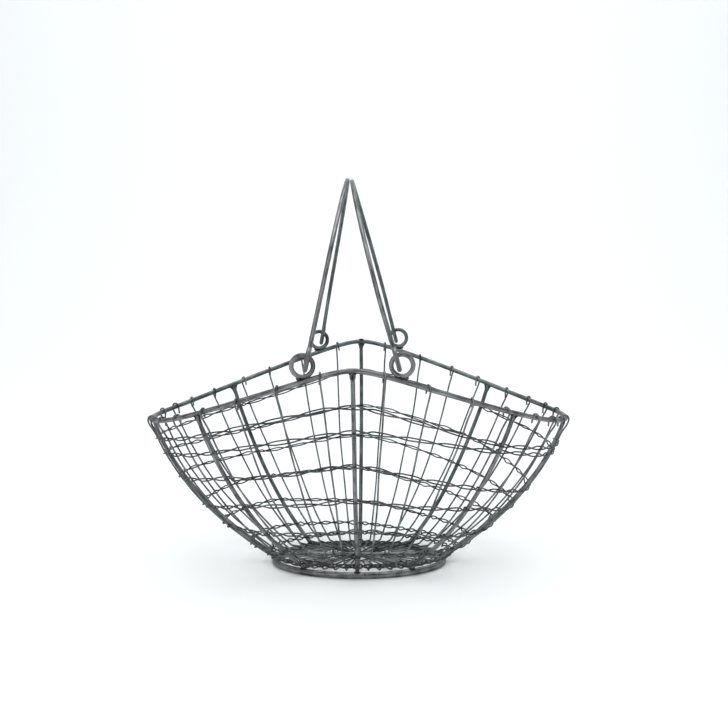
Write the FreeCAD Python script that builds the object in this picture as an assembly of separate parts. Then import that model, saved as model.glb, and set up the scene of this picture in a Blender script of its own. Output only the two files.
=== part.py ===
import FreeCAD, Part
import math
import os

# Egg collection basket of iron wire, in millimetres. +Z is up and +X runs along the long axis.
# The foot ring stands on z = 0, and the front of the basket faces -Y.
# The bowl is a wall surface between an oval base edge and a rim that rises to a hump in the
# middle of both long sides. Every upright wire lies on that surface, and every woven strand
# passes its upright wires just outside or just inside it.

Vector = FreeCAD.Vector

# ---- wire gauges ----
RIM_WIRE = 4.5
FOOT_WIRE = 6.2
RIB_WIRE = 4.0
STAVE_WIRE = 1.7
WEAVE_WIRE = 1.4
RING_WIRE = 4.0
HANDLE_WIRE = 4.0

# ---- rim: a pointed oval with a hump in the middle of each long side ----
RIM_HALF_LENGTH = 200.0
RIM_HALF_WIDTH = 129.3
RIM_POINTEDNESS = 1.187      # over 1 draws the ends of the oval to a point
RIM_SIDE_POWER = 1.027
RIM_TOP_Z = 207.3
RIM_END_DROP = 60.9          # how far the ends lie below the hump
HUMP_ROUNDING = 0.09         # share of the half length over which the hump is rounded
HUMP_SLOPE = 1.16
END_FLATTENING = 0.057

# ---- base and foot ring ----
BASE_HALF_LENGTH = 84.0
BASE_HALF_WIDTH = 48.0
BASE_Z = 7.75                # centre line of the wires that lie flat in the base
FOOT_HALF_LENGTH = 83.3
FOOT_HALF_WIDTH = 48.4
FOOT_FLAT = 0.15             # the underside is ground flat by this much, so the basket stands level

# ---- bowl profile: share of the way out = 1 - (1 - share of the way up) ** power ----
PROFILE_POWER_LOW = 1.9
PROFILE_POWER_FALL = 0.45

# ---- upright wires of one quarter, from the middle of a long side to the end ----
# place along the rim, as a share of the quarter; along the base edge they are evenly spaced
FRONT_PLACES = (0.0, 0.103, 0.253, 0.406, 0.549, 0.577, 0.686, 0.786, 0.856, 0.921, 1.0)
BACK_PLACES = (0.0, 0.103, 0.256, 0.400, 0.519, 0.562, 0.648, 0.753, 0.841, 0.913, 1.0)
UPRIGHT_BOW = 0.02           # half way up, an upright stands up to this share of the quarter nearer
                             # to the middle of the long side than its two ends do
QUARTER_STEPS = len(FRONT_PLACES) - 1
RIB_STEPS = (0, 5, 10)       # these steps are heavy ribs, and the others are thin staves
WALL_STEPS = 12              # runs of each upright wire between base edge and rim
EDGE_RUN = 3.0               # short run each side of the bend at the base edge
RIB_WELD_DEPTH = 0.5         # how far a rib's top is melted into the underside of the rim
KICK_SHARE = 0.92            # above this share of the height a stave leans out past the rim
HOOK_GAP = 0.35
HOOK_TAIL = 6.0
STAVE_END_SHARE = 0.42       # where a stave's lower end stops, as a share of the way to the edge
CENTRE_LIFT = 4.15           # the front-to-back rib steps over the left-to-right rib
CENTRE_STEP_IN = 4.0
CENTRE_STEP_OUT = 10.0
DIAGONAL_END = 9.0           # the diagonal ribs stop this far from the centre

# ---- weave: two strands twined round the uprights ----
# In the wall they climb as one spiral, and each turn ends where the turn above it starts. The
# shares of the wall's height are at eight places of a turn, from the right end by way of the
# back, the left end and the front, with the top turn first.
WALL_TURNS = (
    (0.775, 0.845, 0.842, 0.848, 0.880, 0.872, 0.840, 0.808),
    (0.515, 0.645, 0.650, 0.700, 0.760, 0.765, 0.730, 0.768),
    (0.385, 0.467, 0.495, 0.545, 0.600, 0.605, 0.565, 0.547),
    (0.255, 0.300, 0.325, 0.395, 0.405, 0.420, 0.395, 0.412),
    (0.125, 0.150, 0.170, 0.250, 0.265, 0.250, 0.235, 0.235),
    (0.060, 0.060, 0.070, 0.105, 0.112, 0.115, 0.095, 0.110),
)
SPIRAL_TOP = 0.825           # share at which the top turn ends
EDGE_ROW = 0.028             # a closed row just above the base edge
BASE_ROWS = ((0.76, 1), (0.30, 5))   # share of the way to the edge, and steps between uprights
STRAND_END_GAP = 0.2         # each strand of a turn or row ends this far from its last upright
WEAVE_GAP = 0.25             # between a woven strand and the upright wire that it passes
WEAVE_SPREAD = 1.1           # how far above or below the row's line a strand passes an upright
CROSSING_PLACE = 0.36        # where one strand passes over the other, as a share of the run between
CROSSING_OFFSET = 1.2        # two passes, and how far in or out of the wall each strand is there
SWAP_PLACE = 0.66            # where in the same run the strands change sides of the wall
SWAP_RISE = 1.4              # how far above or below the row's line each strand is there
PASS_SHARE = 0.1             # a strand runs straight at least this share of a bay each side of an
PASS_WIDTH = 0.5             # upright, and at least this share of the upright's gauge

# ---- handle rings and handles ----
RING_RADIUS = 9.15           # centre line
RING_WELD_DEPTH = 0.3
LEFT_RINGS_X = (-42.2, -46.0)    # front ring, back ring
RIGHT_RINGS_X = (41.0, 41.0)
HANDLE_HEIGHT = 166.0        # from the ring centres to the crown, along the handle
HANDLE_INSET = 3.0           # the handle's plane passes this far from the ring centres
HANDLE_TOP_POWER = 1.9
HANDLE_SIDE_POWER = 1.6
HANDLE_STEPS = 9             # runs in each half of the arch
CROWN_SHARE = 0.35           # half width of the crown's flat, as a share of the last arch width
MEETING_X = -6.0             # the two handles lean on each other a little left of the middle
MEETING_HALF_GAP = 2.2
EYE_HALF_WIDTH = 4.35        # centre line of the long eye that goes round the ring's wire
EYE_BOTTOM = -2.75
EYE_TOP = 13.0
EYE_NECK = 6.0               # the leg bends from the eye into the arch over this height
EYE_END_GAP = 0.25           # between the eye's cut end and the leg
EYE_END_RISE = 2.0
EYE_SHOULDER = (1.2, 0.6)    # top corner of the eye: in from its side, and above its top
EYE_SIDE_DROP = 2.6          # the eye's far side is straight from here down
EYE_FOOT_HALF = 2.1          # the bottom of the eye is nearly level over this half width
EYE_FOOT_RISE = 0.3

# ---- tessellation of the smooth ovals ----
RIM_POINTS = 64
FOOT_POINTS = 36
ARC_SHARE = 0.47             # share of the shorter run that each rounded corner takes
RIM_SAMPLES = 1440


def unit(vector):
    return vector * (1.0 / vector.Length)


def rounded_path(points):
    """Straight runs joined by tangent arcs, as one wire."""
    edges = []
    start = points[0]
    for before, corner, after in zip(points, points[1:], points[2:]):
        inward = unit(corner - before)
        outward = unit(after - corner)
        turn = inward.getAngle(outward)
        if turn < 1e-4:
            continue
        cut = ARC_SHARE * min((corner - before).Length, (after - corner).Length)
        first = corner - inward * cut
        last = corner + outward * cut
        radius = cut / math.tan(turn / 2)
        towards = unit(outward - inward)
        middle = corner + towards * (radius / math.cos(turn / 2) - radius)
        edges.append(Part.LineSegment(start, first).toShape())
        edges.append(Part.Arc(first, middle, last).toShape())
        start = last
    edges.append(Part.LineSegment(start, points[-1]).toShape())
    return Part.Wire(edges)


def wire_piece(points, diameter):
    """A length of round wire along the points, as one solid."""
    path = rounded_path(points)
    circle = Part.makeCircle(diameter / 2, points[0], points[1] - points[0])
    solid = path.makePipe(Part.Face(Part.Wire(circle)))
    expected = path.Length * math.pi * diameter ** 2 / 4
    if abs(solid.Volume / expected - 1) > 0.01 or not solid.isValid():
        raise ValueError("a swept wire has the wrong volume")
    return solid


def wire_loop(points, diameter):
    """A closed loop of round wire, made as two halves welded end to end."""
    count = len(points)
    half = count // 2
    start = (points[-1] + points[0]) * 0.5
    middle = (points[half - 1] + points[half]) * 0.5
    near = wire_piece([start] + points[:half] + [middle], diameter)
    far = wire_piece([middle] + points[half:] + [start], diameter)
    loop = near.fuse(far)
    if len(loop.Solids) != 1 or not loop.isValid():
        raise ValueError("a wire loop didn't close")
    return loop.Solids[0]


def power(value, exponent):
    return math.copysign(abs(value) ** exponent, value)


# ---- the rim line and the base edge, each measured along its own length ----

def rim_at(turn):
    """Rim centre line. Turn 0 is the middle of the front, and a quarter turn is the right end."""
    angle = 2 * math.pi * turn
    x = RIM_HALF_LENGTH * power(math.sin(angle), RIM_POINTEDNESS)
    y = -RIM_HALF_WIDTH * power(math.cos(angle), RIM_SIDE_POWER)
    share = abs(x) / RIM_HALF_LENGTH
    drop = HUMP_SLOPE * (math.hypot(share, HUMP_ROUNDING) - HUMP_ROUNDING)
    drop *= 1 - END_FLATTENING * share ** 8
    return Vector(x, y, RIM_TOP_Z - RIM_END_DROP * drop)


def base_edge_at(turn):
    angle = 2 * math.pi * turn
    return Vector(BASE_HALF_LENGTH * math.sin(angle), -BASE_HALF_WIDTH * math.cos(angle), BASE_Z)


def length_table(curve):
    """Running length along the curve's first quarter, for even spacing."""
    table = [0.0]
    last = curve(0)
    for i in range(1, RIM_SAMPLES + 1):
        point = curve(i / RIM_SAMPLES / 4)
        table.append(table[-1] + (point - last).Length)
        last = point
    return table


def turn_at_share(table, share):
    """The turn, 0 to 0.25, at which this share of the quarter's length is reached."""
    goal = share * table[-1]
    low, high = 0, RIM_SAMPLES
    while high - low > 1:
        middle = (low + high) // 2
        if table[middle] <= goal:
            low = middle
        else:
            high = middle
    part = (goal - table[low]) / (table[high] - table[low])
    return (low + part) / RIM_SAMPLES / 4


RIM_TABLE = length_table(rim_at)
BASE_TABLE = length_table(base_edge_at)


def shares_at(step, height=0.0):
    """Shares of the quarter along the rim and along the base edge, at a place between uprights
    and at this share of the wall's height."""
    place = step % (4 * QUARTER_STEPS)
    in_front = place <= QUARTER_STEPS or place >= 3 * QUARTER_STEPS
    places = FRONT_PLACES if in_front else BACK_PLACES
    inside = step % (2 * QUARTER_STEPS)
    inside = min(inside, 2 * QUARTER_STEPS - inside)
    low = min(int(inside), QUARTER_STEPS - 1)
    part = inside - low
    rim_share = places[low] + part * (places[low + 1] - places[low])
    base_share = inside / QUARTER_STEPS
    bow = UPRIGHT_BOW * math.sin(math.pi * height) * math.sin(math.pi * base_share)
    return rim_share - bow, base_share - bow


def mirrored(point, step):
    """Moves a point of the front right quarter to the quarter that the step lies in."""
    step = step % (4 * QUARTER_STEPS)
    x = point.x if step <= 2 * QUARTER_STEPS else -point.x
    y = point.y if step <= QUARTER_STEPS or step >= 3 * QUARTER_STEPS else -point.y
    return Vector(x, y, point.z)


def rim_point(step, height=0.0):
    rim_share, _ = shares_at(step, height)
    return mirrored(rim_at(turn_at_share(RIM_TABLE, rim_share)), step)


def base_point(step, height=0.0):
    _, base_share = shares_at(step, height)
    return mirrored(base_edge_at(turn_at_share(BASE_TABLE, base_share)), step)


# ---- the wall surface: step runs round the basket, 40 steps a turn, and share runs up ----

def wall_at(step, share):
    top = rim_point(step, share)
    foot = base_point(step, share)
    out = 1 - (1 - share) ** (PROFILE_POWER_LOW - PROFILE_POWER_FALL * share)
    return Vector(
        foot.x + (top.x - foot.x) * out,
        foot.y + (top.y - foot.y) * out,
        foot.z + (top.z - foot.z) * share,
    )


def base_at(step, share):
    """The flat base, from the centre at 0 to the base edge at 1."""
    edge = base_point(step)
    return Vector(edge.x * share, edge.y * share, edge.z)


def off_surface(surface, step, share, outward, raised):
    """A point beside the surface, moved along its outside normal and along the upright wire.
    In the wall, raised is the true height above the surface point, whatever the other move."""
    nudge = 0.02
    rise = 0.004
    around = surface(step + nudge, share) - surface(step - nudge, share)
    up = unit(surface(step, share + rise) - surface(step, share - rise))
    normal = unit(around.cross(up))
    slide = raised
    if up.z > 0:
        slide = (raised - normal.z * outward) / up.z
    return surface(step, share) + normal * outward + up * slide


def is_rib(step):
    place = step % (2 * QUARTER_STEPS)
    return min(place, 2 * QUARTER_STEPS - place) in RIB_STEPS


# ---- heavy ribs ----

def rib_wall_points(step):
    """From the rim down to the base edge."""
    top = rim_point(step)
    points = [Vector(top.x, top.y, top.z - RIM_WIRE / 2 + RIB_WELD_DEPTH)]
    for i in range(WALL_STEPS - 1, 0, -1):
        points.append(wall_at(step, i / WALL_STEPS))
    return points + edge_points(step)


def edge_points(step):
    """The bend at the base edge, kept short by a point each side of it."""
    edge = base_point(step)
    wall = wall_at(step, 1 / WALL_STEPS)
    inward = unit(Vector(-edge.x, -edge.y, 0))
    return [edge + unit(wall - edge) * EDGE_RUN, edge, edge + inward * EDGE_RUN]


def through_rib(first_step, middle_points):
    """One wire from rim to rim, down the wall, across the base and up the other side."""
    near = rib_wall_points(first_step)
    far = rib_wall_points(first_step + 2 * QUARTER_STEPS)
    return wire_piece(near + middle_points + far[::-1], RIB_WIRE)


def rib_left_right():
    return through_rib(3 * QUARTER_STEPS, [])


def rib_front_back():
    lift = Vector(0, 0, BASE_Z + CENTRE_LIFT)
    flat = Vector(0, 0, BASE_Z)
    along = Vector(0, 1, 0)
    step_over = [
        flat - along * CENTRE_STEP_OUT,
        lift - along * CENTRE_STEP_IN,
        lift + along * CENTRE_STEP_IN,
        flat + along * CENTRE_STEP_OUT,
    ]
    return through_rib(0, step_over)


def diagonal_rib(step):
    edge = base_point(step)
    inner = unit(Vector(edge.x, edge.y, 0)) * DIAGONAL_END
    inner.z = BASE_Z
    return wire_piece(rib_wall_points(step) + [inner], RIB_WIRE)


# ---- thin staves: up the outside, over the rim, and a short tail inside ----

def stave(step):
    top = rim_point(step)
    along = rim_point(step + 0.05) - rim_point(step - 0.05)
    outward = unit(Vector(along.y, -along.x, 0))
    radius = RIM_WIRE / 2 + STAVE_WIRE / 2 + HOOK_GAP
    corner = radius * math.tan(math.pi / 8)
    up = Vector(0, 0, 1)
    points = [base_at(step, STAVE_END_SHARE)] + edge_points(step)[::-1]
    for i in range(1, WALL_STEPS):
        if i / WALL_STEPS < KICK_SHARE:
            points.append(wall_at(step, i / WALL_STEPS))
    shoulder = top + outward * radius
    tail = top - outward * radius
    points += [
        shoulder - up * radius,
        shoulder + up * corner,
        top + outward * corner + up * radius,
        top - outward * corner + up * radius,
        tail + up * corner,
        tail - up * HOOK_TAIL,
    ]
    return wire_piece(points, STAVE_WIRE)


# ---- weave: two strands that swap sides between each pair of uprights ----

def spiral_share(place):
    """Height share along the whole spiral. Place counts eighths of a turn from its lower end."""
    shares = [share for turn in WALL_TURNS[::-1] for share in turn] + [SPIRAL_TOP]
    last = len(shares) - 1
    low = min(max(int(place), 0), last - 1)
    part = place - low
    before = shares[max(low - 1, 0)]
    start = shares[low]
    end = shares[low + 1]
    after = shares[min(low + 2, last)]
    # a smooth curve, whose slope at each share is the mean slope of the runs beside it
    slope_start = (end - before) / 2
    slope_end = (after - start) / 2
    bend = 3 * (end - start) - 2 * slope_start - slope_end
    twist = slope_start + slope_end - 2 * (end - start)
    return start + part * (slope_start + part * (bend + part * twist))


def turn_share(turn, step):
    """Height share in one turn of the spiral, which runs from the right end once round."""
    turns_below = len(WALL_TURNS) - 1 - turn
    return spiral_share(8 * turns_below + (step - QUARTER_STEPS) / (QUARTER_STEPS / 2))


def upright_wire(step):
    return RIB_WIRE if is_rib(step) else STAVE_WIRE


def pass_offset(step):
    return upright_wire(step) / 2 + WEAVE_WIRE / 2 + WEAVE_GAP


def strand(surface, share_at, uprights, parity):
    """One strand, from the first upright to the last. It is outside and low at every other
    upright, and inside and high at the rest, and it makes half a turn round its partner in
    each bay."""
    places = []
    for i, (step, after) in enumerate(zip(uprights, uprights[1:])):
        outside = 1 if (i + parity) % 2 == 0 else -1
        bay = after - step
        width = (surface(after, share_at(after)) - surface(step, share_at(step))).Length
        leave = max(PASS_SHARE, PASS_WIDTH * upright_wire(step) / width)
        arrive = max(PASS_SHARE, PASS_WIDTH * upright_wire(after) / width)
        start = step + leave * bay
        run = bay * (1 - leave - arrive)
        nip = bay * STRAND_END_GAP / width
        leaving = (outside * pass_offset(step), -outside * WEAVE_SPREAD)
        arriving = (-outside * pass_offset(after), outside * WEAVE_SPREAD)
        if i == 0:
            places.append((step + nip,) + leaving)
        places.append((start,) + leaving)
        places.append((start + CROSSING_PLACE * run, outside * CROSSING_OFFSET, 0.0))
        places.append((start + SWAP_PLACE * run, 0.0, outside * SWAP_RISE))
        places.append((start + run,) + arriving)
        if after == uprights[-1]:
            places.append((after - nip,) + arriving)
    points = []
    for place, outward, raised in places:
        points.append(off_surface(surface, place, share_at(place), outward, raised))
    return wire_piece(points, WEAVE_WIRE)


def woven_pair(surface, share_at, uprights):
    strands = [strand(surface, share_at, uprights, parity) for parity in (0, 1)]
    return Part.makeCompound(strands)


def woven_rows():
    """The turns of the spiral from the top down, then the closed rows."""
    once_round = 4 * QUARTER_STEPS
    turn_uprights = range(QUARTER_STEPS, QUARTER_STEPS + once_round + 1)
    rows = []
    for turn in range(len(WALL_TURNS)):
        rows.append(woven_pair(wall_at, lambda step, t=turn: turn_share(t, step), turn_uprights))
    rows.append(woven_pair(wall_at, lambda step: EDGE_ROW, range(once_round + 1)))
    for share, every in BASE_ROWS:
        uprights = range(0, once_round + 1, every)
        rows.append(woven_pair(base_at, lambda step, s=share: s, uprights))
    return rows


# ---- rim and foot ring ----

def rim():
    points = [rim_at((i + 0.5) / RIM_POINTS) for i in range(RIM_POINTS)]
    return wire_loop(points, RIM_WIRE)


def foot_ring():
    points = []
    for i in range(FOOT_POINTS):
        angle = 2 * math.pi * (i + 0.5) / FOOT_POINTS
        x = FOOT_HALF_LENGTH * math.sin(angle)
        y = -FOOT_HALF_WIDTH * math.cos(angle)
        points.append(Vector(x, y, FOOT_WIRE / 2 - FOOT_FLAT))
    ring = wire_loop(points, FOOT_WIRE)
    size = 4 * FOOT_HALF_LENGTH
    ground = Part.makeBox(size, size, FOOT_WIRE, Vector(-size / 2, -size / 2, -FOOT_WIRE))
    return ring.cut(ground).Solids[0]


# ---- handles: each is drawn about its hinge line, which is first laid along Y ----

def rim_at_x(x, side):
    """The rim's centre line at this x, on the front (-1) or the back (1)."""
    turn = 0.25
    low, high = 0.0, 0.25
    for _ in range(40):
        turn = (low + high) / 2
        if rim_at(turn).x < abs(x):
            low = turn
        else:
            high = turn
    point = rim_at(turn)
    return Vector(x, point.y if side < 0 else -point.y, point.z)


def ring_centre(x, side):
    """A ring stands on the rim, and its foot is melted a little way into it."""
    here = rim_at_x(x, side)
    along = rim_at_x(abs(x) + 0.5, side) - rim_at_x(abs(x) - 0.5, side)
    slope = abs(along.z) / along.Length
    height = (RIM_WIRE / 2 - RING_WELD_DEPTH + RING_WIRE / 2) / math.sqrt(1 - slope ** 2)
    return here + Vector(0, 0, height + RING_RADIUS)


def handle_frame(rings_x):
    """Middle of the hinge line, its direction from front to back, and its half length."""
    front = ring_centre(rings_x[0], -1)
    back = ring_centre(rings_x[1], 1)
    return (front + back) * 0.5, unit(back - front), (back - front).Length / 2


def handle_ring(rings_x, side):
    middle, axis, half = handle_frame(rings_x)
    return Part.makeTorus(RING_RADIUS, RING_WIRE / 2, middle + axis * half * side, axis)


def handle_lean(middle, hand):
    """Angle of the resting handle from upright, so that its crown reaches the meeting place."""
    reach = abs(middle.x - (MEETING_X + hand * MEETING_HALF_GAP))
    along = math.hypot(HANDLE_INSET, HANDLE_HEIGHT)
    return math.asin(reach / along) - math.atan2(HANDLE_INSET, HANDLE_HEIGHT)


def handle_outline(half):
    """Points of the whole handle in its own plane, as pairs: along the hinge, up the handle."""
    eye_centre = half
    outer = eye_centre - EYE_HALF_WIDTH
    inner = eye_centre + EYE_HALF_WIDTH
    # the cut end lies against the leg and closes the eye; the wire goes down the far side,
    # round the bottom and up the near side into the leg
    side = [
        (outer + HANDLE_WIRE + EYE_END_GAP, EYE_TOP + EYE_END_RISE),
        (inner - EYE_SHOULDER[0], EYE_TOP + EYE_SHOULDER[1]),
        (inner, EYE_TOP - EYE_SIDE_DROP),
        (inner, EYE_BOTTOM + EYE_FOOT_RISE),
        (eye_centre + EYE_FOOT_HALF, EYE_BOTTOM),
        (eye_centre - EYE_FOOT_HALF, EYE_BOTTOM),
        (outer, EYE_BOTTOM + EYE_FOOT_RISE),
        (outer, EYE_TOP + EYE_NECK),
    ]
    arch = []
    for i in range(2, HANDLE_STEPS):
        angle = math.pi / 2 * i / HANDLE_STEPS
        up = math.sin(angle)
        width = outer * (1 - up ** HANDLE_TOP_POWER) ** (1 / HANDLE_SIDE_POWER)
        arch.append((width, HANDLE_HEIGHT * up))
    return side, arch


def handle(rings_x, hand):
    middle, axis, half = handle_frame(rings_x)
    lean = handle_lean(middle, hand)
    side, arch = handle_outline(half)
    right = side + arch
    half_crown = arch[-1][0] * CROWN_SHARE
    crown = [(half_crown, HANDLE_HEIGHT), (-half_crown, HANDLE_HEIGHT)]
    outline = right + crown + [(-across, up) for across, up in right[::-1]]
    across_hinge = unit(Vector(axis.y, -axis.x, 0))
    upright = unit(across_hinge.cross(axis))
    up_handle = upright * math.cos(lean) - across_hinge * (hand * math.sin(lean))
    inset = -across_hinge * (hand * math.cos(lean)) - upright * math.sin(lean)
    plane_origin = middle + inset * HANDLE_INSET
    points = [plane_origin + axis * across + up_handle * up for across, up in outline]
    return wire_piece(points, HANDLE_WIRE)


# ---- the whole basket ----

def build():
    parts = {
        "rim": rim(),
        "foot_ring": foot_ring(),
        "rib_left_right": rib_left_right(),
        "rib_front_back": rib_front_back(),
    }
    octants = ("front_right", "right_front", "right_back", "back_right",
               "back_left", "left_back", "left_front", "front_left")
    diagonals = ("front_right", "back_right", "back_left", "front_left")
    for quarter, name in enumerate(diagonals):
        parts["rib_" + name] = diagonal_rib(QUARTER_STEPS * quarter + 5)
    for octant, name in enumerate(octants):
        staves = [stave(octant * 5 + i) for i in range(1, 5)]
        parts["staves_" + name] = Part.makeCompound(staves)
    for number, row in enumerate(woven_rows(), 1):
        parts["weave_row_%d" % number] = row
    for name, rings_x, hand in (("left", LEFT_RINGS_X, -1), ("right", RIGHT_RINGS_X, 1)):
        parts["handle_ring_%s_front" % name] = handle_ring(rings_x, -1)
        parts["handle_ring_%s_back" % name] = handle_ring(rings_x, 1)
        parts["handle_" + name] = handle(rings_x, hand)
    return parts


os.makedirs("parts", exist_ok=True)
for node, shape in build().items():
    shape.exportStep("parts/%s.step" % node)
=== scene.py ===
import math
import random

import bmesh
import bpy
import numpy as np
from mathutils import Matrix, Vector, noise


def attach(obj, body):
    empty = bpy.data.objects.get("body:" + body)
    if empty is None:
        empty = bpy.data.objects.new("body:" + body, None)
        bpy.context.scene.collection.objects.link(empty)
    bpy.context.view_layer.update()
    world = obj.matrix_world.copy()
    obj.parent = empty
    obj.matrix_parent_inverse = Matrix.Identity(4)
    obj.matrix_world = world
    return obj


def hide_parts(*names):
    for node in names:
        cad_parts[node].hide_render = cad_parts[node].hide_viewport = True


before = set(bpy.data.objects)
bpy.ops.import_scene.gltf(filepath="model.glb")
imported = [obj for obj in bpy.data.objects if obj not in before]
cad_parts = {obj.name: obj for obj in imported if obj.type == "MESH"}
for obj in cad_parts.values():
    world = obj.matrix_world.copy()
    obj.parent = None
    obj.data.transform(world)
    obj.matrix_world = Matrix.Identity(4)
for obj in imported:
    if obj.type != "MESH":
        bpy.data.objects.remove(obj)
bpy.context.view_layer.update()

# Egg collection basket. Every wire is a smooth tube along the same lines as the CAD model.
# The basket's lengths are millimetres, and each mesh is scaled to metres when it is made. The
# floor's and the lights' are metres. A step counts uprights round the basket, from the front
# middle towards the right. +Z is up, +X is to the right along the basket, and -Y is the front.

MM = 0.001

# ---- wire gauges ----
RIM_WIRE = 4.5
FOOT_WIRE = 6.2
RIB_WIRE = 4.0
STAVE_WIRE = 1.7
WEAVE_WIRE = 1.4
RING_WIRE = 4.0
HANDLE_WIRE = 4.0

# ---- rim ----
RIM_HALF_LENGTH = 200.0
RIM_HALF_WIDTH = 129.3
RIM_POINTEDNESS = 1.187
RIM_SIDE_POWER = 1.027
RIM_TOP_Z = 207.3
RIM_END_DROP = 60.9
HUMP_ROUNDING = 0.09
HUMP_SLOPE = 1.16
END_FLATTENING = 0.057

# ---- base and foot ring ----
BASE_HALF_LENGTH = 84.0
BASE_HALF_WIDTH = 48.0
BASE_Z = 7.75
FOOT_HALF_LENGTH = 83.3
FOOT_HALF_WIDTH = 48.4
FOOT_FLAT = 0.15

# ---- bowl profile ----
PROFILE_POWER_LOW = 1.9
PROFILE_POWER_FALL = 0.45

# ---- upright wires ----
FRONT_PLACES = (0.0, 0.103, 0.253, 0.406, 0.549, 0.577, 0.686, 0.786, 0.856, 0.921, 1.0)
BACK_PLACES = (0.0, 0.103, 0.256, 0.400, 0.519, 0.562, 0.648, 0.753, 0.841, 0.913, 1.0)
UPRIGHT_BOW = 0.02
QUARTER_STEPS = len(FRONT_PLACES) - 1
ALL_STEPS = 4 * QUARTER_STEPS
RIB_EVERY = 5
WALL_STEPS = 20
EDGE_RUN = 3.0
RIB_WELD_DEPTH = 0.5
KICK_SHARE = 0.92
HOOK_GAP = 0.25
STAVE_END_SHARE = 0.42
CENTRE_LIFT = 4.15
CENTRE_STEP_IN = 4.0
CENTRE_STEP_OUT = 10.0
DIAGONAL_END = 9.0

# ---- a stave's hook over the rim: the smallest and largest of what each one draws ----
HOOK_LOOSE = (0.0, 0.35)
HOOK_TAIL_DROP = (3.9, 6.6)
HOOK_TAIL_IN = (-0.3, 0.8)
HOOK_SLANT = (0.4, 1.5)

# ---- weave: the wall's spiral from the top turn down, then the closed rows ----
WALL_TURNS = (
    (0.775, 0.845, 0.842, 0.848, 0.880, 0.872, 0.840, 0.808),
    (0.515, 0.645, 0.650, 0.700, 0.760, 0.765, 0.730, 0.768),
    (0.385, 0.467, 0.495, 0.545, 0.600, 0.605, 0.565, 0.547),
    (0.255, 0.300, 0.325, 0.395, 0.405, 0.420, 0.395, 0.412),
    (0.125, 0.150, 0.170, 0.250, 0.265, 0.250, 0.235, 0.235),
    (0.060, 0.060, 0.070, 0.105, 0.112, 0.115, 0.095, 0.110),
)
SPIRAL_TOP = 0.825
EDGE_ROW = 0.028
BASE_ROWS = ((0.76, 1), (0.30, 5))
WEAVE_GAP = 0.2
WEAVE_SPREAD = 1.1
CROSSING_PLACE = 0.36
CROSSING_OFFSET = 1.2
SWAP_PLACE = 0.66
SWAP_RISE = 1.4
PASS_SHARE = 0.1
PASS_WIDTH = 0.5
STRAND_END_GAP = 0.2

# ---- how unevenly the wires were bent by hand. The first three are in steps, the spiral's in
# height shares and its reach in eighths of a turn, and the last three are shares ----
RIB_SWAY = 0.025
STAVE_LEAN = 0.07
STAVE_SWAY = 0.05
SPIRAL_SWAY_LOW = 0.002
SPIRAL_SWAY_GAIN = 0.006
SPIRAL_SWAY_REACH = 16
PASS_SWAY = 0.3
CROSSING_SWAY = 0.1
SWAP_SWAY = 0.35

# ---- handle rings and handles ----
RING_RADIUS = 9.15
RING_WELD_DEPTH = 0.3
LEFT_RINGS_X = (-42.2, -46.0)
RIGHT_RINGS_X = (41.0, 41.0)
HANDLE_HEIGHT = 166.0
HANDLE_INSET = 3.0
HANDLE_TOP_POWER = 1.9
HANDLE_SIDE_POWER = 1.6
HANDLE_STEPS = 9
CROWN_SHARE = 0.35
MEETING_X = -6.0
MEETING_HALF_GAP = 2.2
EYE_HALF_WIDTH = 4.35
EYE_BOTTOM = -2.75
EYE_TOP = 13.0
EYE_NECK = 6.0
EYE_END_GAP = 0.25
EYE_END_RISE = 2.0
EYE_SHOULDER = (1.2, 0.6)
EYE_SIDE_DROP = 2.6
EYE_FOOT_HALF = 2.1
EYE_FOOT_RISE = 0.3
# how far each handle's front and back legs are bent to the right
LEFT_LEG_BENDS = (0.8, -1.3)
RIGHT_LEG_BENDS = (-2.2, 1.1)

# ---- how finely the lines are drawn ----
RIM_POINTS = 64
FOOT_POINTS = 48
RING_POINTS = 24
LENGTH_SAMPLES = 1440
QUARTER_TURN = 0.25
HALVINGS = 40
STEP_NUDGE = 0.05

# ---- wire ends: how far they reach and how they narrow, as shares of the gauge ----
SAWN_BEVEL = 0.14
SAWN_WIDTH = 0.8
SNIP_REACH = 0.45
SNIP_START = (0.35, 1.0, 0.9)
SNIP_TIP = (1.0, 0.92, 0.28)
LUMP_LENGTH = 7.0
MARK_SHIFT = 37.0
BEAD_MARK_SHIFT = 11.0
BALL_DETAIL = 3
SHARP_ANGLE = 55

UP = Vector((0, 0, 1))


# ======================= shapes: the basket's own lines =======================

def power(value, exponent):
    return math.copysign(abs(value) ** exponent, value)


def rim_at(turn):
    """A point on the rim's centre line. It turns once round, from the front middle."""
    angle = 2 * math.pi * turn
    x = RIM_HALF_LENGTH * power(math.sin(angle), RIM_POINTEDNESS)
    y = -RIM_HALF_WIDTH * power(math.cos(angle), RIM_SIDE_POWER)
    share = abs(x) / RIM_HALF_LENGTH
    drop = HUMP_SLOPE * (math.hypot(share, HUMP_ROUNDING) - HUMP_ROUNDING)
    drop *= 1 - END_FLATTENING * share ** 8
    return Vector((x, y, RIM_TOP_Z - RIM_END_DROP * drop))


def base_edge_at(turn):
    angle = 2 * math.pi * turn
    return Vector((BASE_HALF_LENGTH * math.sin(angle), -BASE_HALF_WIDTH * math.cos(angle), BASE_Z))


def length_table(curve):
    """Lengths along a quarter of a closed curve, from its start."""
    table = [0.0]
    last = curve(0)
    for i in range(1, LENGTH_SAMPLES + 1):
        point = curve(i / LENGTH_SAMPLES * QUARTER_TURN)
        table.append(table[-1] + (point - last).length)
        last = point
    return np.array(table)


def turn_at_share(table, share):
    sample = float(np.interp(share * table[-1], table, np.arange(LENGTH_SAMPLES + 1)))
    return sample / LENGTH_SAMPLES * QUARTER_TURN


RIM_TABLE = length_table(rim_at)
BASE_TABLE = length_table(base_edge_at)


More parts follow.
